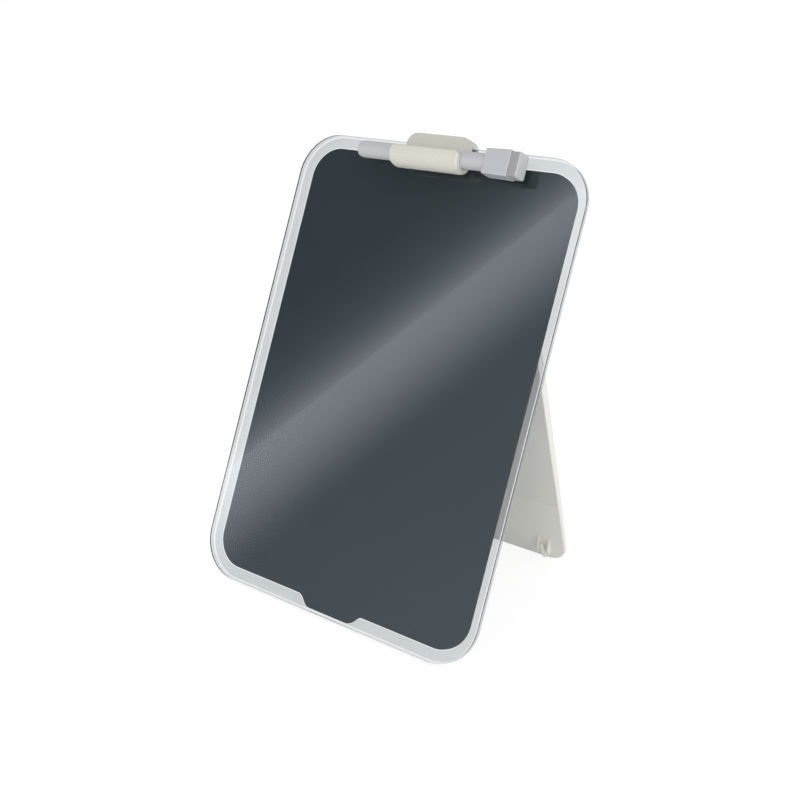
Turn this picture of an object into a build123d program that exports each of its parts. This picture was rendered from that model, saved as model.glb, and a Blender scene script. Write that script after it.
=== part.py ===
"""Glass magnetic desk board with a folding stand, a sliding pen clip and a capped marker.

The board leans back on its bottom edge and a hinged stand props it from behind.
Frame: origin on the desk, midway between the board's toe and the back of the stand's foot,
+X to the reader's right, +Y away from the reader, +Z up. Millimetres and degrees.
"""
import os
from math import cos, radians, sin

from build123d import *

# ---------------------------------------------------------------- driving dimensions
running_gap = 0.3          # air between pieces that move past each other
fit_play = 0.05            # radial play of a pin or a sliding seal in its hole

# glass board
board_width = 216.0
board_height = 305.0
board_corner = 28.0
glass_thickness = 4.8
glass_arris = 0.4          # ground edge of the glass
lean = 24.2                # of the board, back from upright

# backing, seen through the glass inside a clear rim
rim = 8.0
film_thickness = 0.2
steel_thickness = 0.6
steel_inset = 0.2          # steel stops short of the film all round
tab_top_half = 26.5        # tab below the dark area, half widths at its root and its end
tab_end_half = 14.8
tab_foot = 1.2             # clear glass left under the tab

# hinge
hinge_up = 207.1           # hinge axis, up the board from its bottom edge
tape_thickness = 0.6
tape_inset = 1.0
base_width = 100.0
base_height = 26.0
base_thickness = 2.8
base_corner = 4.0
base_edge = 0.6
knuckle_radius = 3.7
end_knuckle = 14.0         # length of each of the base's knuckles
pin_radius = 1.5
sleeve_wall = 0.75
pin_cap_radius = 3.0
pin_cap_length = 1.3
pin_cap_edge = 0.5

# stand
open_angle = 42.5          # between board and stand at the open stop
stand_width = 178.0
stand_corner = 14.0
stand_face = 2.4           # hinge axis to the stand's inner face
stand_top_thickness = 6.5
stand_knee_thickness = 5.3
stand_knee_height = 80.0   # up the stand, where the thin foot has thickened
stand_foot_thickness = 2.4
stand_wall = 1.3
stand_edge_round = 0.8     # outer edge; the inner one has a chamfer
stand_edge_chamfer = 0.5
stand_rim = 1.1            # rim of the shell round the inner cover
stand_ledge = 2.0          # seat of the cover's edge
stand_bays = 5
stand_rib = 1.4
stand_cover_thickness = 1.2
stand_cover_top = 15.0     # cover starts this far below the hinge axis
stand_cover_low = 51.8     # and ends this far above the stand's lower edge
cover_low_corner = 3.0
cover_gap = 0.15
foot_lift = 0.25           # plastic stays this far off the desk

# rubber feet in their sockets, and the fins of the shell beside them
foot_inset = 16.9          # middle of each foot from the side of the stand
foot_width = 2.8
foot_top = 12.7            # above the stand's lower edge
foot_stem_low = 2.6
foot_socket = 1.0          # depth of the socket in the shell
foot_play = 0.1
foot_proud = 2.7           # at the top
foot_toe = 1.0             # and where it meets the desk
fin_inset = 15.8           # middle of each pair of fins from the side of the stand
fin_thickness = 1.3
fin_spacing = 7.8
fin_top = 19.0
fin_crest = 10.2           # the fin stands furthest from the face here
fin_low = 6.6
fin_proud = 4.4
fin_heel = 3.8             # reach of its lower end

# pen clip
clip_width = 51.0          # of the trough
hook_width = 48.4          # of the plate, the bridge and the leg
clip_plate = 2.0           # wall between the pen and the glass
clip_wall = 3.3            # half-round trough and its front wall
clip_top = 5.9             # clip stands this far over the board's top edge
clip_lip = 3.4             # front wall rises this far over the marker's axis
clip_front_corner = 3.3    # of the front wall, seen square on
clip_low_corner = 4.5
clip_low_ease = 0.5        # the low corners' arcs run on this far below the trough
clip_top_corner = 7.5
clip_edge_break = 0.7      # chamfer of the front edges
clip_leg_chamfer = 0.5
clip_leg = 1.9             # leg behind the glass
clip_leg_reach = 7.0       # leg's reach down the glass
liner_thickness = 0.5
liner_crown = 2.0
liner_reach = 13.0         # front leg of the liner, down the glass
liner_inset = 0.5

# marker, its axis along X
barrel_radius = 5.4
barrel_wall = 1.0
pen_below_top = 9.6        # pen axis below the board's top edge
barrel_left = -51.0
cap_mouth = 42.6           # X of the cap's mouth
plug_reach = 3.5
plug_shoulder = 0.5
plug_taper = 1.4           # the plug's end narrows by this much over its last stretch
plug_taper_length = 2.0
plug_seat = 5.0
reservoir_play = 0.1
neck_seat = 8.0            # nib holder inside the barrel
neck_radius = 4.0
neck_straight = 4.2
neck_cone = 3.4
neck_tip_radius = 2.9
nib_radius = 2.0
nib_reach = 5.0
nib_seat = 10.0
nib_point = 1.1
cap_height = 16.2
cap_depth = 12.4
cap_length = 17.3
cap_draft = 0.9            # the cap grows by this much from its mouth to its end
cap_edge_round = 1.0
cap_end_chamfer = 0.4
cap_end_wall = 1.4
seal_length = 4.5
seal_wall = 0.6
magnet_length = 2.0
felt_inset = 0.6
felt_length = 4.7
felt_corner = 2.4

# ---------------------------------------------------------------- places worked out
back_lean = open_angle - lean                      # of the stand, forward from upright
film_back = glass_thickness + film_thickness       # depths behind the front of the glass
steel_back = film_back + steel_thickness
tape_back = steel_back + tape_thickness
base_back = tape_back + base_thickness
hinge_depth = base_back + running_gap + knuckle_radius

toe_up = (glass_thickness - glass_arris) * sin(radians(lean))
axis_height = toe_up + hinge_up * cos(radians(lean)) - hinge_depth * sin(radians(lean))
axis_back = hinge_up * sin(radians(lean)) + hinge_depth * cos(radians(lean))
stand_drop = (axis_height - foot_lift - stand_face * sin(radians(back_lean))) / cos(radians(back_lean))
stand_reach = (
    axis_back
    + stand_drop * sin(radians(back_lean))
    + (stand_foot_thickness - stand_face) * cos(radians(back_lean))
)
toe_back = -stand_reach / 2

board_plane = Plane(
    origin=(0, toe_back, toe_up), x_dir=(1, 0, 0), z_dir=(0, -cos(radians(lean)), sin(radians(lean)))
)
hinge_axis = board_plane.from_local_coords((0, hinge_up, -hinge_depth))
stand_plane = Plane(
    origin=hinge_axis, x_dir=(1, 0, 0), z_dir=(0, -cos(radians(back_lean)), -sin(radians(back_lean)))
)
board_to_front = Axis(board_plane.origin, board_plane.z_dir)
stand_to_board = Axis(stand_plane.origin, stand_plane.z_dir)
os.makedirs("parts", exist_ok=True)


def section(plane, across, up=0.0, front=0.0):
    """Plane across the board or the stand: its x runs to the front, its y up."""
    return Plane(origin=plane.from_local_coords((across, up, front)), x_dir=plane.z_dir, z_dir=(-1, 0, 0))


def finish(builder, label):
    """Name a finished sub-part and write it out."""
    builder.part.label = label
    export_step(builder.part, f"parts/{label}.step")


# ---------------------------------------------------------------- board
def backing_outline(inset):
    """The dark area inside the clear rim, with the tab that drops from its lower edge."""
    edge = rim + inset
    low = tab_foot + inset
    top_half = tab_top_half - inset
    end_half = tab_end_half - inset
    ease = (top_half - end_half) / 2
    with BuildSketch() as outline:
        with Locations((0, board_height / 2)):
            RectangleRounded(board_width - 2 * edge, board_height - 2 * edge, board_corner - edge)
        with BuildLine():
            Bezier((-top_half, edge), (ease - top_half, edge), (-end_half - ease, low), (-end_half, low))
            Line((-end_half, low), (end_half, low))
            Bezier((end_half, low), (end_half + ease, low), (top_half - ease, edge), (top_half, edge))
            Polyline((top_half, edge), (top_half, 2 * edge), (-top_half, 2 * edge), (-top_half, edge))
        make_face()
    return outline.sketch


with BuildPart() as glass_panel:
    with BuildSketch(board_plane):
        with Locations((0, board_height / 2)):
            RectangleRounded(board_width, board_height, board_corner)
    extrude(amount=-glass_thickness)
    chamfer(glass_panel.faces().filter_by(board_plane).edges(), length=glass_arris)
finish(glass_panel, "glass_panel")

with BuildPart() as colour_film:
    with BuildSketch(board_plane.offset(-glass_thickness)):
        add(backing_outline(0))
    extrude(amount=-film_thickness)
finish(colour_film, "colour_film")

with BuildPart() as steel_sheet:
    with BuildSketch(board_plane.offset(-film_back)):
        add(backing_outline(steel_inset))
    extrude(amount=-steel_thickness)
finish(steel_sheet, "steel_sheet")

# ---------------------------------------------------------------- hinge, board side
# The base's three knuckles alternate with the stand's two.
end_knuckle_across = (base_width - end_knuckle) / 2
stand_knuckle = end_knuckle_across - end_knuckle - 2 * running_gap
stand_knuckle_across = end_knuckle_across / 2

with BuildPart() as hinge_tape:
    with BuildSketch(board_plane.offset(-steel_back)):
        with Locations((0, hinge_up)):
            RectangleRounded(
                base_width - 2 * tape_inset, base_height - 2 * tape_inset, base_corner - tape_inset
            )
    extrude(amount=-tape_thickness)
finish(hinge_tape, "hinge_tape")

with BuildPart() as hinge_base:
    with BuildSketch(board_plane.offset(-tape_back)):
        with Locations((0, hinge_up)):
            RectangleRounded(base_width, base_height, base_corner)
    extrude(amount=-base_thickness)
    chamfer(hinge_base.faces().sort_by(board_to_front)[0].edges(), length=base_edge)
    for across in (-end_knuckle_across, 0, end_knuckle_across):
        with BuildSketch(section(board_plane, across, hinge_up, -hinge_depth)):
            Circle(knuckle_radius)
            Rectangle(knuckle_radius + running_gap, 2 * knuckle_radius, align=(Align.MIN, Align.CENTER))
        extrude(amount=end_knuckle / 2, both=True)
    with BuildSketch(section(board_plane, 0, hinge_up, -hinge_depth)):
        Circle(pin_radius)
    extrude(amount=base_width, both=True, mode=Mode.SUBTRACT)
finish(hinge_base, "hinge_base")

with BuildPart() as hinge_pin:
    with BuildSketch(section(board_plane, 0, hinge_up, -hinge_depth)):
        Circle(pin_radius)
    extrude(amount=base_width / 2, both=True)
finish(hinge_pin, "hinge_pin")

for side, sign in (("left", -1), ("right", 1)):
    with BuildPart() as pin_cap:
        with BuildSketch(section(board_plane, sign * base_width / 2, hinge_up, -hinge_depth)):
            Circle(pin_cap_radius)
        extrude(amount=-sign * pin_cap_length)
        chamfer(pin_cap.edges().sort_by(Axis.X)[-1 if sign > 0 else 0], length=pin_cap_edge)
    finish(pin_cap, f"pin_cap_{side}")

# ---------------------------------------------------------------- stand
# Seen from the side its outer face arches from a thin foot to the hinge, and its top is
# bevelled to lie along the hinge base when the stand stops.
stand_back = stand_face - stand_top_thickness
stand_top = (knuckle_radius - stand_back * cos(radians(open_angle))) / sin(radians(open_angle))
bevel_low = (knuckle_radius - stand_face * cos(radians(open_angle))) / sin(radians(open_angle))


def stand_profile(wall):
    """Side view of the stand, its outer face moved in by a wall."""
    with BuildSketch() as profile:
        with BuildLine():
            ThreePointArc(
                (stand_face - stand_foot_thickness + wall, -stand_drop),
                (stand_face - stand_knee_thickness + wall, stand_knee_height - stand_drop),
                (stand_back + wall, stand_top),
            )
            Polyline(
                (stand_back + wall, stand_top),
                (stand_face, stand_top),
                (stand_face, -stand_drop),
                (stand_face - stand_foot_thickness + wall, -stand_drop),
            )
        make_face()
    return profile.sketch


def cover_outline(inset):
    """The inner cover seen square on, drawn in from the edge of its recess in the shell."""
    width = stand_width - 2 * (stand_rim + inset)
    low = stand_cover_low - stand_drop + inset
    with BuildSketch() as outline:
        with Locations((0, low)):
            Rectangle(width, -stand_cover_top - inset - low, align=(Align.CENTER, Align.MIN))
        fillet(outline.vertices().group_by(Axis.Y)[-1], radius=stand_corner - stand_rim - inset)
        fillet(outline.vertices().group_by(Axis.Y)[0], radius=cover_low_corner - inset)
    return outline.sketch


foot_across = stand_width / 2 - foot_inset
fin_across = stand_width / 2 - fin_inset
foot_seat = stand_face - foot_socket
cavity_side = stand_rim + stand_ledge
bay_width = (stand_width - 2 * cavity_side - (stand_bays - 1) * stand_rib) / stand_bays
cover_seat = stand_face - stand_cover_thickness
cavity_low = stand_cover_low + stand_ledge - stand_drop
cavity_top = -stand_cover_top - stand_ledge
notch_reach = knuckle_radius + 2 * running_gap
end_notch_start = end_knuckle_across - end_knuckle / 2 - running_gap
end_notch = end_knuckle + pin_cap_length + 2 * running_gap

with BuildPart() as stand_shell:
    with BuildSketch(section(stand_plane, 0)):
        add(stand_profile(0))
    extrude(amount=stand_width / 2, both=True)
    ends = stand_shell.faces().sort_by(Axis.X)
    corners = ends[0].edges().sort_by(SortBy.LENGTH)[:2] + ends[-1].edges().sort_by(SortBy.LENGTH)[:2]
    fillet(corners, radius=stand_corner)
    fillet(stand_shell.faces().sort_by(stand_to_board)[0].edges(), radius=stand_edge_round)
    chamfer(stand_shell.faces().sort_by(stand_to_board)[-1].edges(), length=stand_edge_chamfer)
    with BuildSketch(section(stand_plane, 0)):
        with BuildLine():
            Polyline((stand_back, stand_top), (stand_face, bevel_low), (stand_face, stand_top), close=True)
        make_face()
    extrude(amount=stand_width / 2, both=True, mode=Mode.SUBTRACT)
    for across in (-stand_knuckle_across, stand_knuckle_across):
        with BuildSketch(section(stand_plane, across)):
            Circle(knuckle_radius)
        extrude(amount=stand_knuckle / 2, both=True)
    with BuildSketch(stand_plane.offset(2 * knuckle_radius)):
        with Locations((0, -notch_reach)):
            Rectangle(end_knuckle + 2 * running_gap, 2 * stand_top, align=(Align.CENTER, Align.MIN))
        with Locations((end_notch_start, -notch_reach)):
            Rectangle(end_notch, 2 * stand_top, align=(Align.MIN, Align.MIN))
        with Locations((-end_notch_start, -notch_reach)):
            Rectangle(end_notch, 2 * stand_top, align=(Align.MAX, Align.MIN))
    extrude(amount=-2 * knuckle_radius - stand_top_thickness, mode=Mode.SUBTRACT)
    with BuildSketch(section(stand_plane, 0)):
        Circle(pin_radius + fit_play + sleeve_wall)
    extrude(amount=base_width / 2, both=True, mode=Mode.SUBTRACT)
    with BuildSketch(stand_plane.offset(stand_face)):
        add(cover_outline(0))
    extrude(amount=-stand_cover_thickness, mode=Mode.SUBTRACT)
    for bay in range(stand_bays):
        bay_left = cavity_side - stand_width / 2 + bay * (bay_width + stand_rib)
        with BuildSketch(section(stand_plane, bay_left)):
            add(stand_profile(stand_wall))
            with Locations((cover_seat, cavity_low)):
                Rectangle(
                    stand_top_thickness, cavity_top - cavity_low,
                    align=(Align.MAX, Align.MIN), mode=Mode.INTERSECT,
                )
        extrude(amount=-bay_width, mode=Mode.SUBTRACT)
    for sign in (-1, 1):
        with BuildSketch(stand_plane.offset(stand_face)):
            with Locations((sign * foot_across, foot_stem_low - foot_play - stand_drop)):
                Rectangle(
                    foot_width + 2 * foot_play, foot_top - foot_stem_low + 2 * foot_play,
                    align=(Align.CENTER, Align.MIN),
                )
        extrude(amount=-foot_socket, mode=Mode.SUBTRACT)
        for across in (sign * fin_across - fin_spacing / 2, sign * fin_across + fin_spacing / 2):
            with BuildSketch(section(stand_plane, across, -stand_drop)):
                with BuildLine():
                    Polyline(
                        (stand_face, fin_low),
                        (stand_face, fin_top),
                        (stand_face + fin_proud, fin_crest),
                        (stand_face + fin_heel, fin_low),
                        close=True,
                    )
                make_face()
            extrude(amount=fin_thickness / 2, both=True)
finish(stand_shell, "stand_shell")

with BuildPart() as stand_cover:
    with BuildSketch(stand_plane.offset(cover_seat)):
        add(cover_outline(cover_gap))
    extrude(amount=stand_cover_thickness)
finish(stand_cover, "stand_cover")


def desk_under_stand(front):
    """Height of the desk's surface on the stand's side view, below a point in front of the axis."""
    return (front * sin(radians(back_lean)) - axis_height) / cos(radians(back_lean))


for side, sign in (("left", -1), ("right", 1)):
    with BuildPart() as rubber_foot:
        with BuildSketch(section(stand_plane, sign * foot_across)):
            with BuildLine():
                Polyline(
                    (foot_seat, foot_top - stand_drop),
                    (stand_face + foot_proud, foot_top - stand_drop),
                    (stand_face + foot_toe, desk_under_stand(stand_face + foot_toe)),
                    (stand_face, desk_under_stand(stand_face)),
                    (stand_face, foot_stem_low - stand_drop),
                    (foot_seat, foot_stem_low - stand_drop),
                    close=True,
                )
            make_face()
        extrude(amount=foot_width / 2, both=True)
    finish(rubber_foot, f"rubber_foot_{side}")

    with BuildPart() as friction_sleeve:
        with BuildSketch(section(stand_plane, sign * stand_knuckle_across)):
            Circle(pin_radius + fit_play + sleeve_wall)
            Circle(pin_radius + fit_play, mode=Mode.SUBTRACT)
        extrude(amount=stand_knuckle / 2, both=True)
    finish(friction_sleeve, f"friction_sleeve_{side}")

# ---------------------------------------------------------------- pen clip
# Side view measured from the front of the glass; the liner lies on the glass, the clip on the liner.
liner_back = -glass_thickness - running_gap
liner_outside = running_gap + liner_thickness
plate_front = liner_outside + clip_plate
pen_front = plate_front + running_gap + barrel_radius
pen_up = board_height - pen_below_top
trough_radius = barrel_radius + running_gap
trough_outside = trough_radius + clip_wall
trough_front = pen_front + trough_outside
clip_low = pen_up - trough_outside
clip_front_height = trough_outside + clip_lip
clip_height = board_height + clip_top
leg_back = liner_back - liner_thickness - clip_leg
leg_low = board_height - clip_leg_reach
liner_top = board_height + running_gap + liner_crown
liner_width = liner_outside - liner_back + liner_thickness

with BuildPart() as clip_hook:
    with BuildSketch(section(board_plane, 0)):
        with Locations((plate_front, clip_height)):
            Rectangle(plate_front - leg_back, clip_height - leg_low, align=(Align.MAX, Align.MAX))
            Rectangle(clip_plate, clip_height - pen_up, align=(Align.MAX, Align.MAX))
        with Locations((liner_outside, liner_top)):
            Rectangle(liner_width, liner_top - pen_up, align=(Align.MAX, Align.MAX), mode=Mode.SUBTRACT)
    extrude(amount=hook_width / 2, both=True)
    with BuildSketch(board_plane.offset(plate_front)):
        with Locations((0, pen_up)):
            Rectangle(hook_width, clip_height - pen_up, align=(Align.CENTER, Align.MIN))
        fillet(vertices().group_by(Axis.Y)[-1], radius=clip_top_corner)
    extrude(amount=leg_back - plate_front, mode=Mode.INTERSECT)
    chamfer(clip_hook.faces().sort_by(board_to_front)[0].edges(), length=clip_leg_chamfer)

with BuildPart() as clip_body:
    with BuildSketch(section(board_plane, 0)):
        with Locations((pen_front, pen_up)):
            Circle(trough_outside)
            Rectangle(2 * trough_outside, clip_lip, align=(Align.CENTER, Align.MIN))
        with Locations((liner_outside, clip_low)):
            Rectangle(
                trough_front - liner_outside, clip_front_height,
                align=(Align.MIN, Align.MIN), mode=Mode.INTERSECT,
            )
        with Locations((pen_front, pen_up)):
            Circle(trough_radius, mode=Mode.SUBTRACT)
            Rectangle(
                2 * trough_radius, clip_front_height, align=(Align.CENTER, Align.MIN), mode=Mode.SUBTRACT
            )
    extrude(amount=clip_width / 2, both=True)
    with BuildSketch(board_plane.offset(trough_front)):
        with Locations((0, clip_low - clip_low_ease)):
            Rectangle(clip_width, clip_front_height + clip_low_ease, align=(Align.CENTER, Align.MIN))
        fillet(vertices().group_by(Axis.Y)[-1], radius=clip_front_corner)
        fillet(vertices().group_by(Axis.Y)[0], radius=clip_low_corner)
    extrude(amount=liner_outside - trough_front, mode=Mode.INTERSECT)
    skin = clip_body.faces().filter_by(GeomType.CYLINDER).sort_by(SortBy.AREA)[-1]
    front = clip_body.faces().sort_by(board_to_front)[-1]
    # the longest edges only join the skin, the front and the plate
    longest = clip_width - clip_front_corner
    outer = (skin.edges() + front.edges()).filter_by(lambda edge: edge.length < longest)
    chamfer(outer, length=clip_edge_break)
    add(clip_hook.part)
finish(clip_body, "clip_body")

with BuildPart() as clip_liner:
    with BuildSketch(section(board_plane, 0)):
        with Locations((liner_outside, liner_top)):
            Rectangle(liner_width, liner_top - leg_low, align=(Align.MAX, Align.MAX))
            Rectangle(liner_thickness, liner_crown + running_gap + liner_reach, align=(Align.MAX, Align.MAX))
        with Locations((running_gap, board_height + running_gap)):
            Rectangle(
                running_gap - liner_back, liner_crown + liner_reach,
                align=(Align.MAX, Align.MAX), mode=Mode.SUBTRACT,
            )
    extrude(amount=hook_width / 2 - liner_inset, both=True)
finish(clip_liner, "clip_liner")

# ---------------------------------------------------------------- marker
pen_line = board_plane.from_local_coords((0, pen_up, pen_front))
pen_axis = Axis(pen_line, (1, 0, 0))
pen_half = Plane(origin=pen_line, x_dir=(1, 0, 0), z_dir=board_plane.z_dir)
barrel_bore = barrel_radius - barrel_wall
barrel_end = cap_mouth - running_gap
neck_end = barrel_end + neck_straight + neck_cone
cap_bore = neck_radius + fit_play + seal_wall
cap_end = cap_mouth + cap_length
magnet_end = cap_end - cap_end_wall


def pen_station(across):
    """Plane square to the marker's axis, facing along +X."""
    return Plane(origin=(across, pen_line.Y, pen_line.Z), x_dir=board_plane.z_dir, z_dir=(1, 0, 0))


with BuildPart() as pen_barrel:
    with BuildSketch(pen_station(barrel_left)):
        Circle(barrel_radius)
        Circle(barrel_bore, mode=Mode.SUBTRACT)
    extrude(amount=barrel_end - barrel_left)
finish(pen_barrel, "pen_barrel")

with BuildPart() as end_plug:
    with BuildSketch(pen_half):
        with Locations((barrel_left, 0)):
            Rectangle(plug_reach, barrel_radius - plug_shoulder, align=(Align.MAX, Align.MIN))
            chamfer(
                vertices().group_by(Axis.Y)[-1].sort_by(Axis.X)[0],
                length=plug_taper_length, length2=plug_taper,
            )
            Rectangle(plug_seat, barrel_bore - fit_play, align=(Align.MIN, Align.MIN))
    revolve(axis=pen_axis)
finish(end_plug, "end_plug")

with BuildPart() as ink_reservoir:
    with BuildSketch(pen_station(barrel_left + plug_seat)):
        Circle(barrel_bore - reservoir_play)
    extrude(amount=barrel_end - neck_seat - barrel_left - plug_seat)
    with BuildSketch(pen_station(barrel_end - nib_seat)):
        Circle(nib_radius + fit_play)
    extrude(amount=nib_seat - neck_seat, mode=Mode.SUBTRACT)
finish(ink_reservoir, "ink_reservoir")

with BuildPart() as nib_holder:
    with BuildSketch(pen_half):
        with BuildLine():
            Polyline(
                (barrel_end - neck_seat, nib_radius + fit_play),
                (barrel_end - neck_seat, barrel_bore - fit_play),
                (barrel_end, barrel_bore - fit_play),
                (barrel_end, neck_radius),
                (barrel_end + neck_straight, neck_radius),
                (neck_end, neck_tip_radius),
                (neck_end, nib_radius + fit_play),
                close=True,
            )
        make_face()
    revolve(axis=pen_axis)
finish(nib_holder, "nib_holder")

with BuildPart() as nib:
    with BuildSketch(pen_station(barrel_end - nib_seat)):
        Circle(nib_radius)
    extrude(amount=nib_seat + neck_straight + neck_cone + nib_reach)
    chamfer(nib.edges().sort_by(Axis.X)[-1], length=nib_point)
finish(nib, "nib")

with BuildPart() as cap_shell:
    with BuildSketch(pen_station(cap_mouth)):
        RectangleRounded(cap_depth - cap_draft, cap_height - cap_draft, cap_edge_round)
    with BuildSketch(pen_station(cap_end)):
        RectangleRounded(cap_depth, cap_height, cap_edge_round)
    loft()
    chamfer(cap_shell.faces().sort_by(Axis.X)[-1].edges(), length=cap_end_chamfer)
    with BuildSketch(pen_station(cap_mouth)):
        Circle(cap_bore)
    extrude(amount=cap_length - cap_end_wall, mode=Mode.SUBTRACT)
finish(cap_shell, "cap_shell")

with BuildPart() as cap_seal:
    with BuildSketch(pen_station(cap_mouth)):
        Circle(cap_bore)
        Circle(neck_radius + fit_play, mode=Mode.SUBTRACT)
    extrude(amount=seal_length)
finish(cap_seal, "cap_seal")

with BuildPart() as cap_magnet:
    with BuildSketch(pen_station(magnet_end)):
        Circle(cap_bore - fit_play)
    extrude(amount=-magnet_length)
finish(cap_magnet, "cap_magnet")

with BuildPart() as eraser_felt:
    with BuildSketch(pen_station(cap_end)):
        RectangleRounded(cap_depth - 2 * felt_inset, cap_height - 2 * felt_inset, felt_corner)
    extrude(amount=felt_length)
finish(eraser_felt, "eraser_felt")
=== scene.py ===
"""Looks of a glass desk board on a folding stand, with its sliding pen clip and capped marker.

Metres, in the frame of the CAD model: the board leans back from the reader, +X to the reader's
right, +Y away from the reader, +Z up.
"""
from math import cos, degrees, pi, radians, sin

import bmesh
import bpy
from mathutils import Euler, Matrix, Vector


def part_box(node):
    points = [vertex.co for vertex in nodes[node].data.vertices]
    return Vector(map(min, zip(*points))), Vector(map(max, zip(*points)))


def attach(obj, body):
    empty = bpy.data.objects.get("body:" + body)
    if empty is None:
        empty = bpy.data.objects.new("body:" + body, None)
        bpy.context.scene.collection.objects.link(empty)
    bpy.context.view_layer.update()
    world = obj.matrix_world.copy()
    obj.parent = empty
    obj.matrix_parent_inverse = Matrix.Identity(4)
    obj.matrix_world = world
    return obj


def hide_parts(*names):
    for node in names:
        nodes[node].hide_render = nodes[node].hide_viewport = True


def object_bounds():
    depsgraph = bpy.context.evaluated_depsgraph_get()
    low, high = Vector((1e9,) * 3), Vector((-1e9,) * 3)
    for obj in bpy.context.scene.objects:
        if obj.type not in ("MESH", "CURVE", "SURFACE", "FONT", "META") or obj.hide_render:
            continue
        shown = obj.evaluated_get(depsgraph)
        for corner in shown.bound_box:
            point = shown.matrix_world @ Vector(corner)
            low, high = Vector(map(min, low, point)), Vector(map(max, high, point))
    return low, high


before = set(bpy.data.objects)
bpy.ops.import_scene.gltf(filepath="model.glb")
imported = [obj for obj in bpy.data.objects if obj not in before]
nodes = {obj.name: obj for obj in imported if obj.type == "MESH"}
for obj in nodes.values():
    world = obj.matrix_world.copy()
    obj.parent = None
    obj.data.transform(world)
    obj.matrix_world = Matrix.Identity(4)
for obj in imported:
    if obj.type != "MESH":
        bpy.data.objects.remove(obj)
cad_low, cad_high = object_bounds()


# ---------------------------------------------------------------- glass panel
# The writing surface is one sheet of clear float glass with rounded corners. It is cut,
# its edges are ground, and both arrises are polished so that it is safe to hold.
BOARD_LEAN = radians(24.2)
BOARD_WIDTH = 0.216
BOARD_HEIGHT = 0.305
BOARD_CORNER = 0.028
GLASS_THICKNESS = 0.0048
GLASS_ARRIS = 0.0004
PAINTED_SHADE_BAND = 0.0011            # dark band of the edge, behind the front arris
CORNER_STEPS = 24
GLASS_TINT = (0.84, 0.86, 0.87)
GROUND_EDGE = (0.58, 0.60, 0.61)
# The front arris is coloured an opaque pale grey, a painted highlight along the glass's edge, and
# the band behind it near black, a painted shade line.
PAINTED_ARRIS_HIGHLIGHT = (0.62, 0.63, 0.64)
PAINTED_EDGE_SHADE = (0.030, 0.033, 0.036)
NOISE_MIDDLE = (0.3, 0.7)      # most of a soft random pattern lies between these

glass_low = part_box("glass_panel")[0]
board_right = Vector((1, 0, 0))
board_up = Vector((0, sin(BOARD_LEAN), cos(BOARD_LEAN)))
board_front = Vector((0, -cos(BOARD_LEAN), sin(BOARD_LEAN)))
board_toe = Vector((
    0,
    glass_low.y - GLASS_ARRIS * sin(BOARD_LEAN),
    glass_low.z + (GLASS_THICKNESS - GLASS_ARRIS) * sin(BOARD_LEAN),
))


def on_board(across, up, front=0.0):
    """Point across and up the board from the middle of its lower edge, in front of the glass."""
    return board_toe + across * board_right + up * board_up + front * board_front


def corner_arc(centre, radius, start):
    """Quarter turn about a centre, anticlockwise from an angle in degrees."""
    turns = [radians(start + 90 * step / CORNER_STEPS) for step in range(CORNER_STEPS + 1)]
    return [(centre[0] + radius * cos(turn), centre[1] + radius * sin(turn)) for turn in turns]


def rounded_outline(low, high, radius):
    """Rectangle with round corners between two corners, anticlockwise."""
    left, bottom = low[0] + radius, low[1] + radius
    right, top = high[0] - radius, high[1] - radius
    return (
        corner_arc((right, top), radius, 0)
        + corner_arc((left, top), radius, 90)
        + corner_arc((left, bottom), radius, 180)
        + corner_arc((right, bottom), radius, 270)
    )


def lofted(name, rings, materials=(0,), smooth=35, hollow=False):
    """Closed piece through rings of equally many points, capped at both ends.

    materials gives the slot of the first cap, then of each band, then of the end cap; the
    last one given serves for the rest. A hollow piece has no caps: its last ring is joined
    to its first one. Edges sharper than smooth, in degrees, stay crisp.
    """
    mesh = bpy.data.meshes.new(name)
    bm = bmesh.new()
    loops = [[bm.verts.new(point) for point in ring] for ring in rings]
    slots = list(materials) + [materials[-1]] * (len(rings) + 1 - len(materials))
    if hollow:
        pairs = zip(loops, loops[1:] + loops[:1])
    else:
        pairs = zip(loops, loops[1:])
        bm.faces.new(loops[0]).material_index = slots[0]
        bm.faces.new(reversed(loops[-1])).material_index = slots[len(rings)]
    for band, (near, far) in enumerate(pairs, start=1):
        for step in range(len(near)):
            after = (step + 1) % len(near)
            side = bm.faces.new((near[step], near[after], far[after], far[step]))
            side.material_index = slots[band]
    bmesh.ops.recalc_face_normals(bm, faces=bm.faces)
    for face in bm.faces:
        face.smooth = True
    bm.to_mesh(mesh)
    bm.free()
    mesh.set_sharp_from_angle(angle=radians(smooth))
    piece = bpy.data.objects.new(name, mesh)
    bpy.context.scene.collection.objects.link(piece)
    return piece


def add_node(tree, kind, values=(), **settings):
    """Add a node to a tree, with its own settings and values for its sockets."""
    made = tree.nodes.new(kind)
    for setting, value in settings.items():
        setattr(made, setting, value)
    for socket, value in dict(values).items():
        made.inputs[socket].default_value = value
    return made


def shade(colour, share):
    """Colour made that much lighter or darker."""
    return tuple(min(1, channel * share) for channel in colour)


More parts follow.
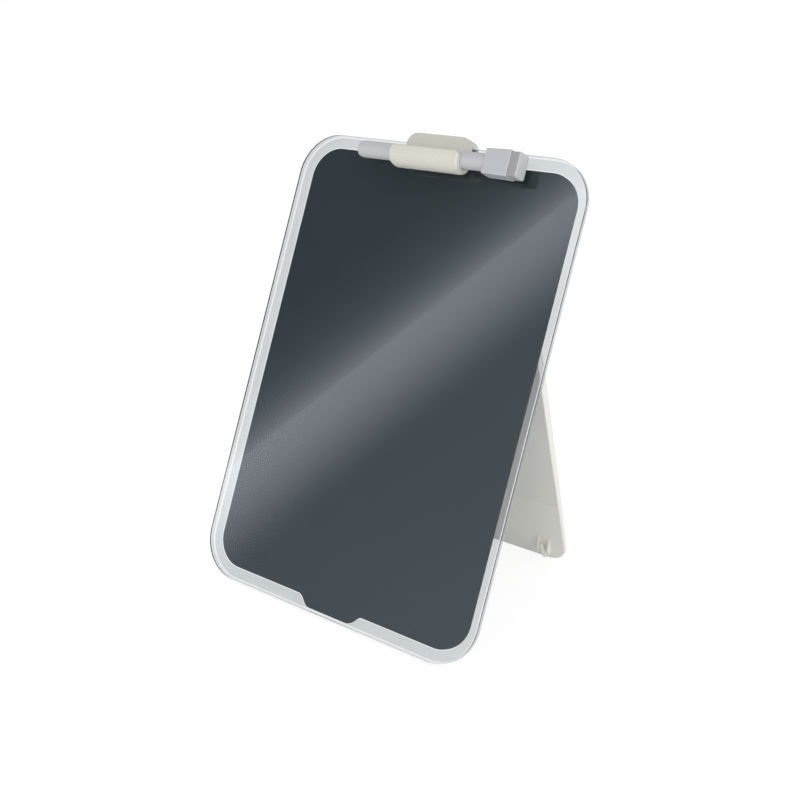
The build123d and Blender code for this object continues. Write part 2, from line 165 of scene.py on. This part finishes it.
class Finish:
    """Node tree of one surface finish, with the constants on the shader's own sockets."""

    def __init__(self, name, **sockets):
        self.material = bpy.data.materials.new(name)
        self.material.use_nodes = True
        self.tree = self.material.node_tree
        self.shader = self.tree.nodes["Principled BSDF"]
        for socket, value in sockets.items():
            self.shader.inputs[socket.replace("_", " ")].default_value = value
        self.place = add_node(self.tree, "ShaderNodeTexCoord").outputs["Object"]

    def join(self, output, target):
        self.tree.links.new(output, target)

    def noise(self, scale, detail=3.0, stretch=(1, 1, 1)):
        """Soft random pattern, with that many features in a metre."""
        mapping = add_node(self.tree, "ShaderNodeMapping", {"Scale": stretch})
        self.join(self.place, mapping.inputs["Vector"])
        noise = add_node(self.tree, "ShaderNodeTexNoise", {"Scale": scale, "Detail": detail})
        self.join(mapping.outputs["Vector"], noise.inputs["Vector"])
        return noise.outputs["Fac"]

    def ranged(self, pattern, low, high):
        """The pattern's middle spread between two values."""
        spread = add_node(self.tree, "ShaderNodeMapRange", {
            "From Min": NOISE_MIDDLE[0], "From Max": NOISE_MIDDLE[1], "To Min": low, "To Max": high,
        })
        self.join(pattern, spread.inputs["Value"])
        return spread.outputs["Result"]

    def colour(self, pattern, colour, dark, light):
        """One colour, between that much darker and that much lighter."""
        blend = add_node(self.tree, "ShaderNodeMix", data_type="RGBA")
        blend.inputs["A"].default_value = (*shade(colour, dark), 1)
        blend.inputs["B"].default_value = (*shade(colour, light), 1)
        self.join(self.ranged(pattern, 0, 1), blend.inputs["Factor"])
        self.join(blend.outputs["Result"], self.shader.inputs["Base Color"])

    def roughness(self, pattern, low, high):
        self.join(self.ranged(pattern, low, high), self.shader.inputs["Roughness"])

    def bump(self, pattern, depth):
        """Relief of that depth in metres."""
        relief = add_node(self.tree, "ShaderNodeBump", {"Strength": 1, "Distance": depth})
        self.join(pattern, relief.inputs["Height"])
        self.join(relief.outputs["Normal"], self.shader.inputs["Normal"])


def dress(node, finish):
    """Give a CAD node its finish."""
    mesh = nodes[node].data
    mesh.materials.clear()
    mesh.materials.append(finish.material)


def board_ring(outline, front):
    """Outline on the board, laid that far in front of the glass."""
    return [on_board(across, up, front) for across, up in outline]


def glass_outline(inset):
    """Outline of the glass, that far inside its edge."""
    low = (inset - BOARD_WIDTH / 2, inset)
    high = (BOARD_WIDTH / 2 - inset, BOARD_HEIGHT - inset)
    return rounded_outline(low, high, BOARD_CORNER - inset)


float_glass = Finish(
    "float_glass", Transmission_Weight=1, IOR=1.0, Roughness=0.0,
    Coat_Weight=1, Coat_Roughness=0.0, Coat_IOR=1.5,
)
float_glass.colour(float_glass.noise(9, detail=1), GLASS_TINT, 0.985, 1)
# Painted highlight: the front arris is an opaque pale grey, not clear glass.
arris_highlight_paint = Finish("arris_highlight_paint", IOR=1.5)
arris_highlight_paint.colour(arris_highlight_paint.noise(600), PAINTED_ARRIS_HIGHLIGHT, 0.97, 1)
arris_highlight_paint.roughness(arris_highlight_paint.noise(1500), 0.15, 0.25)
# Painted shade: a near-black band round the edge, just behind the front arris.
edge_shade_paint = Finish("edge_shade_paint", IOR=1.5)
edge_shade_paint.colour(edge_shade_paint.noise(600), PAINTED_EDGE_SHADE, 0.9, 1)
edge_shade_paint.roughness(edge_shade_paint.noise(1500), 0.15, 0.25)
ground_edge = Finish(
    "ground_edge", Transmission_Weight=0.85, IOR=1.0,
    Coat_Weight=1, Coat_Roughness=0.15, Coat_IOR=1.5,
)
ground_edge.colour(ground_edge.noise(700), GROUND_EDGE, 0.97, 1)
ground_edge.roughness(ground_edge.noise(1800), 0.1, 0.2)

glass_sheet = lofted("glass_sheet", [
    board_ring(glass_outline(GLASS_ARRIS), 0),
    board_ring(glass_outline(0), -GLASS_ARRIS),
    board_ring(glass_outline(0), -GLASS_ARRIS - PAINTED_SHADE_BAND),
    board_ring(glass_outline(0), GLASS_ARRIS - GLASS_THICKNESS),
    board_ring(glass_outline(GLASS_ARRIS), -GLASS_THICKNESS),
], materials=(0, 1, 3, 2, 0, 0), smooth=20)
for finish in (float_glass, arris_highlight_paint, ground_edge, edge_shade_paint):
    glass_sheet.data.materials.append(finish.material)
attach(glass_sheet, "board")
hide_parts("glass_panel")


# ---------------------------------------------------------------- colour film
# The dark writing area is a gloss film laminated behind the glass, stopping 8 mm short of
# its edge. It wraps over the edge of the steel, and a tab drops from its lower side.
RIM = 0.008
FILM_THICKNESS = 0.0002
FILM_BOND = 0.00002            # film's face lies this far inside the glass, in its adhesive
FILM_WRAP = 0.0022             # how far it reaches back round the steel's edge
FILM_LIP = 0.00015             # thickness of that wrap
TAB_TOP_HALF = 0.0265
TAB_END_HALF = 0.0148
TAB_FOOT = 0.0012
TAB_STEPS = 16
SLATE = (0.0270, 0.0395, 0.0462)
FILM_EDGE_PAINTED_SHADE = (0.004, 0.006, 0.008)


def bezier(points, steps):
    """Points along a cubic curve, both ends included."""
    curve = []
    for step in range(steps + 1):
        t = step / steps
        weights = ((1 - t) ** 3, 3 * t * (1 - t) ** 2, 3 * t * t * (1 - t), t ** 3)
        curve.append(tuple(sum(w * p[axis] for w, p in zip(weights, points)) for axis in (0, 1)))
    return curve


def tabbed_outline(edge, foot, inset=0.0):
    """Outline that far inside the glass, with a tab whose end is foot above its lower edge.

    It starts at the tab's right end and runs anticlockwise; inset draws the tab's sides in.
    """
    top_half = TAB_TOP_HALF - inset
    end_half = TAB_END_HALF - inset
    ease = (top_half - end_half) / 2
    radius = BOARD_CORNER - edge
    side = BOARD_WIDTH / 2 - edge
    top = BOARD_HEIGHT - edge
    tab_side = [
        (end_half, foot), (end_half + ease, foot), (top_half - ease, edge), (top_half, edge),
    ]
    right = (
        bezier(tab_side, TAB_STEPS)
        + corner_arc((side - radius, edge + radius), radius, 270)
        + corner_arc((side - radius, top - radius), radius, 0)
    )
    left = [(-across, up) for across, up in reversed(right)]
    return right + left


def film_outline(inset):
    """Outline of the film, that far inside its edge."""
    return tabbed_outline(RIM + inset, TAB_FOOT + inset, inset)


slate = Finish("slate_gloss", Specular_IOR_Level=0.0)
slate.colour(slate.noise(14, detail=2), SLATE, 0.97, 1.03)
slate.roughness(slate.noise(2600), 0.5, 0.6)
# Painted shade: where the film wraps back round the steel, and on its back, it is near black, much
# darker than its face.
film_edge_shade_paint = Finish("film_edge_shade_paint", Specular_IOR_Level=0.0)
film_edge_shade_paint.colour(film_edge_shade_paint.noise(800), FILM_EDGE_PAINTED_SHADE, 0.8, 1.2)
film_edge_shade_paint.roughness(film_edge_shade_paint.noise(2600), 0.5, 0.6)

film_front = FILM_BOND - GLASS_THICKNESS
film_back = -GLASS_THICKNESS - FILM_THICKNESS
writing_film = lofted("writing_film", [
    board_ring(film_outline(0), film_front),
    board_ring(film_outline(0), film_front - FILM_WRAP),
    board_ring(film_outline(FILM_LIP), film_front - FILM_WRAP),
    board_ring(film_outline(FILM_LIP), film_back),
], materials=(0, 1, 1, 1, 1))
for finish in (slate, film_edge_shade_paint):
    writing_film.data.materials.append(finish.material)
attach(writing_film, "board")
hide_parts("colour_film")


# ---------------------------------------------------------------- printed border
# Round the film a thin see-through grey layer behind the glass greys the clear rim. It leaves a
# hairline of bare glass beside the film, and another inside the arris: these show as bright lines,
# painted highlights along the film's edge and the glass's edge.
FILM_HIGHLIGHT_GAP = 0.0006            # bare glass beside the film
EDGE_HIGHLIGHT_MARGIN = 0.0009         # bare glass along the edge of the sheet
BORDER_BACK = 0.00003          # the print stands this far behind the glass
BORDER_TINT = (0.745, 0.765, 0.78)

rim_grey_layer = Finish(
    "rim_grey_layer", Transmission_Weight=1, IOR=1.0, Specular_IOR_Level=0.0, Roughness=0.0,
)
rim_grey_layer.colour(rim_grey_layer.noise(30), BORDER_TINT, 0.96, 1.02)
border_inner = tabbed_outline(RIM - FILM_HIGHLIGHT_GAP, EDGE_HIGHLIGHT_MARGIN + FILM_BOND, -FILM_HIGHLIGHT_GAP)
border_outer = tabbed_outline(EDGE_HIGHLIGHT_MARGIN, EDGE_HIGHLIGHT_MARGIN)
border_back = -GLASS_THICKNESS - BORDER_BACK
glass_border = lofted("glass_border", [
    board_ring(border_outer, film_front),
    board_ring(border_inner, film_front),
    board_ring(border_inner, border_back),
    board_ring(border_outer, border_back),
], hollow=True)
glass_border.data.materials.append(rim_grey_layer.material)
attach(glass_border, "board")


# ---------------------------------------------------------------- backing steel
# A thin sheet of steel, cut a little smaller than the film and bonded behind it, makes the
# board hold magnets. It is coated a satin grey against rust.
STEEL_GREY = (0.36, 0.37, 0.37)

coated_steel = Finish("coated_steel", Metallic=0.35)
coated_steel.colour(coated_steel.noise(60, detail=5), STEEL_GREY, 0.93, 1.07)
coated_steel.roughness(coated_steel.noise(1400), 0.34, 0.48)
coated_steel.bump(coated_steel.noise(1800), 0.00001)
dress("steel_sheet", coated_steel)


# ---------------------------------------------------------------- hinge on the board
# A moulded base with three knuckles is held to the steel by a pad of foam tape. The pin is
# drawn steel rod, with a pressed cap at each end to keep it in the knuckles.
TAPE_WHITE = (0.76, 0.76, 0.73)
PIN_GREY = (0.55, 0.55, 0.56)
CREAM = (0.765, 0.76, 0.712)
DRAWN = (0.1, 1, 1)            # a pattern ten times as long along X
DRAWN_FINE = (0.05, 1, 1)

foam_tape = Finish("foam_tape")
foam_tape.colour(foam_tape.noise(2200), TAPE_WHITE, 0.85, 1)
foam_tape.roughness(foam_tape.noise(2200), 0.8, 0.95)
foam_tape.bump(foam_tape.noise(2600), 0.00006)

drawn_steel = Finish("drawn_steel", Metallic=1.0)
drawn_steel.colour(drawn_steel.noise(900, stretch=DRAWN), PIN_GREY, 0.9, 1.1)
drawn_steel.roughness(drawn_steel.noise(2400, stretch=DRAWN_FINE), 0.22, 0.38)


def moulded(name, colour, low=0.28, high=0.40, grain=0.000012):
    """Injection-moulded plastic: even colour, faint flow marks and a fine spark-eroded grain."""
    plastic = Finish(name, IOR=1.5)
    plastic.colour(plastic.noise(22, detail=4), colour, 0.975, 1.02)
    plastic.roughness(plastic.noise(700), low, high)
    plastic.bump(plastic.noise(3200, detail=2), grain)
    return plastic


cream_plastic = moulded("cream_plastic", CREAM)
dress("hinge_tape", foam_tape)
dress("hinge_base", cream_plastic)
for node in ("hinge_pin", "pin_cap_left", "pin_cap_right"):
    dress(node, drawn_steel)


# ---------------------------------------------------------------- folding stand
# A cream moulded shell, ribbed inside and closed by a clipped-in cover, props the board
# from behind. Two soft feet sit in sockets near its lower edge and grip the desk.
# The cover's colour is a shade darker than the shell's cream: painted shade over that part of the
# stand's face.
COVER_CREAM_PAINTED_SHADE = (0.745, 0.745, 0.70)
RUBBER = (0.92, 0.915, 0.87)
NYLON = (0.70, 0.70, 0.67)

cover_plastic_painted_shade = moulded("cover_plastic_painted_shade", COVER_CREAM_PAINTED_SHADE, 0.42, 0.55, 0.00003)
foot_rubber = moulded("foot_rubber", RUBBER, 0.6, 0.75, 0.00004)
nylon = moulded("nylon", NYLON, 0.35, 0.5)
dress("stand_shell", cream_plastic)
dress("stand_cover", cover_plastic_painted_shade)
for side in ("left", "right"):
    dress(f"rubber_foot_{side}", foot_rubber)
    dress(f"friction_sleeve_{side}", nylon)


# ---------------------------------------------------------------- pen clip
# The clip hooks over the top edge of the glass and slides along it. Its trough cradles the
# marker, and a soft silicone liner keeps the plastic from scratching the glass.
CLIP_CREAM = (0.68, 0.675, 0.595)
SILICONE = (0.72, 0.72, 0.69)

clip_plastic = moulded("clip_plastic", CLIP_CREAM, 0.25, 0.36, 0.000004)
silicone = moulded("silicone", SILICONE, 0.55, 0.7, 0.00002)
dress("clip_body", clip_plastic)
dress("clip_liner", silicone)


# ---------------------------------------------------------------- marker
# A slim dry-wipe marker: an extruded barrel closed by a plug, a fibre reservoir inside it,
# and a moulded holder that carries the bullet nib.
MARKER_GREY = (0.54, 0.55, 0.575)
FIBRE = (0.02, 0.02, 0.025)
HOLDER_WHITE = (0.66, 0.66, 0.66)

marker_plastic = moulded("marker_plastic", MARKER_GREY, 0.3, 0.42)
holder_plastic = moulded("holder_plastic", HOLDER_WHITE, 0.38, 0.5)
ink_fibre = Finish("ink_fibre")
ink_fibre.colour(ink_fibre.noise(1800, stretch=DRAWN), FIBRE, 0.6, 1.6)
ink_fibre.roughness(ink_fibre.noise(1800), 0.8, 0.95)
ink_fibre.bump(ink_fibre.noise(2600, stretch=DRAWN), 0.00008)
for node in ("pen_barrel", "end_plug"):
    dress(node, marker_plastic)
for node in ("ink_reservoir", "nib"):
    dress(node, ink_fibre)
dress("nib_holder", holder_plastic)


# ---------------------------------------------------------------- marker cap and eraser
# The square cap grips the neck of the marker with a soft inner seal. A nickel-plated magnet
# in its end lets it hold to the board, and a block of felt glued to it wipes the glass.
CAP_GREY = (0.50, 0.525, 0.551)
SEAL_WHITE = (0.68, 0.68, 0.68)
NICKEL = (0.62, 0.60, 0.56)
# The felt's sides get a darker colour and its end a lighter one: painted shade on the sides,
# painted light on the end that faces the key light.
FELT_SIDE_PAINTED_SHADE = (0.39, 0.395, 0.41)     # cut sides of the block
FELT_END_PAINTED_LIGHT = (0.62, 0.63, 0.65)     # its wiping face
FELT_FIBRE = (0.52, 0.53, 0.545)
FELT_SIZE = (0.0150, 0.0112)   # up the board and out from it
FELT_CORNER = 0.0017
FELT_NAP = 0.0001              # the block is this much smaller all round, for the nap
FELT_PROUD = 0.0015            # its soft end swells this far past the solid felt
FELT_SOFT_EDGE = 0.0004
FELT_SOFT_SHARE = 0.3          # where the soft edge bends once more, as a share of it
FIBRE_DENSITY = 1.3e7          # in a square metre
FIBRE_LENGTH = 0.0006
FIBRE_RADIUS = 0.000022
FIBRE_LEAN = 75                # degrees, at most, from upright on the surface
FIBRE_SEED = 7
FIBRE_SIDES = 3

cap_plastic = moulded("cap_plastic", CAP_GREY, 0.3, 0.42)
seal_plastic = moulded("seal_plastic", SEAL_WHITE, 0.5, 0.65)
nickel = Finish("nickel_plate", Metallic=1.0)
nickel.colour(nickel.noise(300), NICKEL, 0.95, 1.05)
nickel.roughness(nickel.noise(1600), 0.12, 0.22)
dress("cap_shell", cap_plastic)
dress("cap_seal", seal_plastic)
dress("cap_magnet", nickel)


def pressed_felt(name, colour):
    """Matted wool: mottled, quite rough, with a deep fibrous relief."""
    felt = Finish(name, Specular_IOR_Level=0.2)
    felt.colour(felt.noise(1500, detail=6), colour, 0.86, 1.12)
    felt.roughness(felt.noise(2000), 0.85, 1.0)
    felt.bump(felt.noise(2200, detail=6), 0.00012)
    return felt


def fibre_pile(material):
    """Node group that scatters short leaning fibres over a mesh."""
    group = bpy.data.node_groups.new("fibre_pile", "GeometryNodeTree")
    group.is_modifier = True
    face = group.interface
    face.new_socket("Geometry", in_out="INPUT", socket_type="NodeSocketGeometry")
    face.new_socket("Geometry", in_out="OUTPUT", socket_type="NodeSocketGeometry")
    for title, kind, value in (
        ("Density", "NodeSocketFloat", FIBRE_DENSITY),
        ("Length", "NodeSocketFloat", FIBRE_LENGTH),
        ("Radius", "NodeSocketFloat", FIBRE_RADIUS),
        ("Lean", "NodeSocketFloat", radians(FIBRE_LEAN)),
        ("Seed", "NodeSocketInt", FIBRE_SEED),
    ):
        face.new_socket(title, in_out="INPUT", socket_type=kind).default_value = value

    def step(kind, values=(), **settings):
        return add_node(group, kind, values, **settings)

    join = group.links.new
    given = step("NodeGroupInput").outputs
    scatter = step("GeometryNodeDistributePointsOnFaces")
    join(given["Geometry"], scatter.inputs["Mesh"])
    join(given["Density"], scatter.inputs["Density"])
    join(given["Seed"], scatter.inputs["Seed"])
    fibre = step("GeometryNodeMeshCone", {"Vertices": FIBRE_SIDES})
    join(given["Radius"], fibre.inputs["Radius Bottom"])
    join(given["Length"], fibre.inputs["Depth"])
    tilt = step("FunctionNodeRandomValue")
    join(given["Lean"], tilt.inputs["Max"])
    join(given["Seed"], tilt.inputs["Seed"])
    turn = step("FunctionNodeRandomValue", {"Max": 2 * pi, "Seed": FIBRE_SEED + 1})
    leaning = step("ShaderNodeCombineXYZ")
    join(tilt.outputs["Value"], leaning.inputs["X"])
    turning = step("ShaderNodeCombineXYZ")
    join(turn.outputs["Value"], turning.inputs["Z"])
    turned = step("FunctionNodeRotateRotation", rotation_space="LOCAL")
    join(scatter.outputs["Rotation"], turned.inputs["Rotation"])
    join(turning.outputs["Vector"], turned.inputs["Rotate By"])
    leant = step("FunctionNodeRotateRotation", rotation_space="LOCAL")
    join(turned.outputs["Rotation"], leant.inputs["Rotation"])
    join(leaning.outputs["Vector"], leant.inputs["Rotate By"])
    place = step("GeometryNodeInstanceOnPoints")
    join(scatter.outputs["Points"], place.inputs["Points"])
    join(fibre.outputs["Mesh"], place.inputs["Instance"])
    join(leant.outputs["Rotation"], place.inputs["Rotation"])
    real = step("GeometryNodeRealizeInstances")
    join(place.outputs["Instances"], real.inputs["Geometry"])
    dyed = step("GeometryNodeSetMaterial", {"Material": material})
    join(real.outputs["Geometry"], dyed.inputs["Geometry"])
    together = step("GeometryNodeJoinGeometry")
    join(given["Geometry"], together.inputs["Geometry"])
    join(dyed.outputs["Geometry"], together.inputs["Geometry"])
    join(together.outputs["Geometry"], step("NodeGroupOutput").inputs["Geometry"])
    return group


felt_low, felt_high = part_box("eraser_felt")
felt_middle = (felt_low + felt_high) / 2 - board_toe
felt_up, felt_front = felt_middle.dot(board_up), felt_middle.dot(board_front)


def felt_ring(across, inset):
    """Outline of the felt block square to the marker's axis."""
    half_up, half_front = (size / 2 - inset for size in FELT_SIZE)
    outline = rounded_outline((-half_up, -half_front), (half_up, half_front), FELT_CORNER - inset)
    return [on_board(across, felt_up + up, felt_front + front) for up, front in outline]


felt_end = felt_high.x + FELT_PROUD
felt_bend = FELT_SOFT_SHARE * FELT_SOFT_EDGE
felt_block = lofted("felt_block", [
    felt_ring(felt_low.x, FELT_NAP),
    felt_ring(felt_end - FELT_SOFT_EDGE, FELT_NAP),
    felt_ring(felt_end - felt_bend, FELT_NAP + felt_bend),
    felt_ring(felt_end, FELT_NAP + FELT_SOFT_EDGE),
], materials=(0, 0, 1, 1, 1), smooth=60)
# Painted light: the darker felt colour goes on the sides, the lighter one on the end.
for name, colour in (("felt_side_painted_shade", FELT_SIDE_PAINTED_SHADE), ("felt_end_painted_light", FELT_END_PAINTED_LIGHT)):
    felt_block.data.materials.append(pressed_felt(name, colour).material)
fibre = pressed_felt("felt_fibre", FELT_FIBRE).material
pile = felt_block.modifiers.new("pile", "NODES")
pile.node_group = fibre_pile(fibre)
grown = bpy.data.meshes.new_from_object(
    felt_block.evaluated_get(bpy.context.evaluated_depsgraph_get())
)
felt_block.modifiers.remove(pile)
felt_block.data = grown
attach(felt_block, "cap")
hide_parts("eraser_felt")


# ---------------------------------------------------------------- studio
# A white sweep under soft light from the right. A long panel light with one sharp edge and
# one feathered edge stands to the left, and the glass mirrors it as a slanting band.
CAMERA_PLACE = (0.4004, -0.5329, 0.3811)
CAMERA_TILT = radians(90 - 21.084)
CAMERA_TURN = radians(36.735)
CAMERA_LENS = 50
CAMERA_REACH = 50
FLOOR_HALF = 4.0
SKY_DIFFUSE = 0.85             # soft light from all round
KEY_PLACE = (1.75, -0.40, 1.15)
KEY_SIZE = (1.0, 1.0)
KEY_POWER = 7
FILL_PLACE = (0.30, -0.34, 0.03)
FILL_SIZE = (0.7, 0.09)
FILL_POWER = 0.7
FLOOR_GLOW = 0.842             # the sweep as seen is lit by itself, and a little by the lamps
FLOOR_WHITE = 0.22
FLOOR_BOUNCE = 0.9             # and what it gives back to the board
PANEL_LOW = (-0.095, 0.08)     # the panel's sharp edge is mirrored from here on the glass
PANEL_HIGH = (0.095, 0.28)     # to here
PANEL_LIGHT = 3.85
PANEL_FADE = 4.6               # degrees over which the feathered side fades
PANEL_FILL = 0.90              # light beyond the fade, its growth by the degree and its most
PANEL_FILL_GROWTH = 0.03
PANEL_FILL_MOST = 1.80
GLOW_LIGHT = 3.1               # scatter on the sharp side, and the degrees in which it dies away
GLOW_REACH = 1.2
SHADE_LIGHT = 0.26
PANEL_TINT = (0.95, 1.0, 1.09)

scene = bpy.context.scene
scene.view_settings.view_transform = "Standard"
camera = bpy.data.objects.new("camera", bpy.data.cameras.new("camera"))
camera.data.lens = CAMERA_LENS
camera.data.clip_end = CAMERA_REACH
camera.location = CAMERA_PLACE
camera.rotation_euler = Euler((CAMERA_TILT, 0, CAMERA_TURN))
scene.collection.objects.link(camera)
scene.camera = camera


def mirrored_sight(across, up):
    """Direction that the glass mirrors to the camera at a point of the board."""
    sight = (on_board(across, up) - Vector(CAMERA_PLACE)).normalized()
    return sight - 2 * sight.dot(board_front) * board_front


panel_side = mirrored_sight(*PANEL_HIGH).cross(mirrored_sight(*PANEL_LOW)).normalized()
if panel_side.x < 0:
    panel_side = -panel_side

world = bpy.data.worlds.new("studio")
world.use_nodes = True
scene.world = world
sky = world.node_tree
sky.nodes.clear()


def math_step(tree, operation, *values):
    """One step of arithmetic in a tree; each value is a number or the output of a node."""
    step = add_node(tree, "ShaderNodeMath", operation=operation)
    for socket, value in zip(step.inputs, values):
        if isinstance(value, (int, float)):
            socket.default_value = value
        else:
            tree.links.new(value, socket)
    return step.outputs["Value"]


def sky_math(operation, *values):
    return math_step(sky, operation, *values)


def sky_choice(chooser, chosen, other):
    """One level where the chooser is 1, and the other where it is 0."""
    rest = sky_math("SUBTRACT", 1, chooser)
    return sky_math("ADD", sky_math("MULTIPLY", chooser, chosen), sky_math("MULTIPLY", rest, other))


# The level that a mirroring surface sees, by the angle from the panel's sharp edge
direction = add_node(sky, "ShaderNodeTexCoord").outputs["Generated"]
across_panel = add_node(sky, "ShaderNodeVectorMath", {1: panel_side}, operation="DOT_PRODUCT")
sky.links.new(direction, across_panel.inputs[0])
from_edge = sky_math("MULTIPLY", sky_math("ARCSINE", across_panel.outputs["Value"]), degrees(1))
in_panel = sky_math("GREATER_THAN", from_edge, 0)
fade = add_node(sky, "ShaderNodeMapRange", {
    "From Min": 0, "From Max": PANEL_FADE, "To Min": PANEL_LIGHT - PANEL_FILL, "To Max": 0,
}, interpolation_type="SMOOTHSTEP")
sky.links.new(from_edge, fade.inputs["Value"])
past_fade = sky_math("SUBTRACT", from_edge, PANEL_FADE)
fill = sky_math("MULTIPLY_ADD", past_fade, PANEL_FILL_GROWTH, PANEL_FILL)
fill = sky_math("MAXIMUM", sky_math("MINIMUM", fill, PANEL_FILL_MOST), PANEL_FILL)
lit = sky_math("ADD", fade.outputs["Result"], fill)
glow = sky_math("EXPONENT", sky_math("DIVIDE", sky_math("MINIMUM", from_edge, 0), GLOW_REACH))
unlit = sky_math("MULTIPLY_ADD", glow, GLOW_LIGHT, SHADE_LIGHT)
mirrored = sky_choice(in_panel, lit, unlit)

# Plain white where it is seen, and the soft light where it only lights
path = add_node(sky, "ShaderNodeLightPath").outputs
seen_direct = sky_math("MAXIMUM", path["Is Camera Ray"], path["Is Transmission Ray"])
level = sky_choice(seen_direct, 1, sky_choice(path["Is Glossy Ray"], mirrored, SKY_DIFFUSE))
tint = add_node(sky, "ShaderNodeMix", data_type="RGBA")
tint.inputs["A"].default_value = (1, 1, 1, 1)
tint.inputs["B"].default_value = (*PANEL_TINT, 1)
only_mirrored = sky_math("MULTIPLY", path["Is Glossy Ray"], sky_math("SUBTRACT", 1, seen_direct))
sky.links.new(only_mirrored, tint.inputs["Factor"])
background = add_node(sky, "ShaderNodeBackground")
sky.links.new(tint.outputs["Result"], background.inputs["Color"])
sky.links.new(level, background.inputs["Strength"])
world_output = add_node(sky, "ShaderNodeOutputWorld")
sky.links.new(background.outputs["Background"], world_output.inputs["Surface"])

middle = (cad_low + cad_high) / 2
for name, place, size, power in (
    ("key_light", KEY_PLACE, KEY_SIZE, KEY_POWER),
    ("fill_light", FILL_PLACE, FILL_SIZE, FILL_POWER),
):
    lamp = bpy.data.objects.new(name, bpy.data.lights.new(name, "AREA"))
    lamp.data.shape = "RECTANGLE"
    lamp.data.size, lamp.data.size_y = size
    lamp.data.energy = power
    lamp.location = place
    lamp.rotation_euler = (Vector(place) - middle).to_track_quat("Z", "Y").to_euler()
    lamp.visible_transmission = False     # from behind, the clear rim would show the lamp itself
    scene.collection.objects.link(lamp)

floor_corners = [
    (across * FLOOR_HALF, away * FLOOR_HALF, 0)
    for across, away in ((-1, -1), (1, -1), (1, 1), (-1, 1))
]
floor_mesh = bpy.data.meshes.new("floor")
floor_mesh.from_pydata(floor_corners, [], [(0, 1, 2, 3)])
floor = bpy.data.objects.new("floor", floor_mesh)
scene.collection.objects.link(floor)


def grey(level):
    return (level, level, level, 1)


# The sweep shows as a white glow that still takes the board's shadow, and lights as matt white
white_sweep = bpy.data.materials.new("white_sweep")
white_sweep.use_nodes = True
sweep = white_sweep.node_tree
sweep.nodes.clear()
sweep_path = add_node(sweep, "ShaderNodeLightPath").outputs
seen = math_step(sweep, "MAXIMUM", sweep_path["Is Camera Ray"], sweep_path["Is Glossy Ray"])
seen_at_all = math_step(sweep, "MAXIMUM", seen, sweep_path["Is Transmission Ray"])
matt = add_node(sweep, "ShaderNodeBsdfDiffuse", {"Color": grey(FLOOR_BOUNCE)})
shadowed = add_node(sweep, "ShaderNodeBsdfDiffuse", {"Color": grey(FLOOR_WHITE)})
glowing = add_node(sweep, "ShaderNodeEmission", {"Color": grey(1), "Strength": FLOOR_GLOW})
both = add_node(sweep, "ShaderNodeAddShader")
sweep.links.new(shadowed.outputs["BSDF"], both.inputs[0])
sweep.links.new(glowing.outputs["Emission"], both.inputs[1])
choice = add_node(sweep, "ShaderNodeMixShader")
sweep.links.new(seen_at_all, choice.inputs[0])
sweep.links.new(matt.outputs["BSDF"], choice.inputs[1])
sweep.links.new(both.outputs["Shader"], choice.inputs[2])
sweep_output = add_node(sweep, "ShaderNodeOutputMaterial")
sweep.links.new(choice.outputs["Shader"], sweep_output.inputs["Surface"])
floor.data.materials.append(white_sweep)
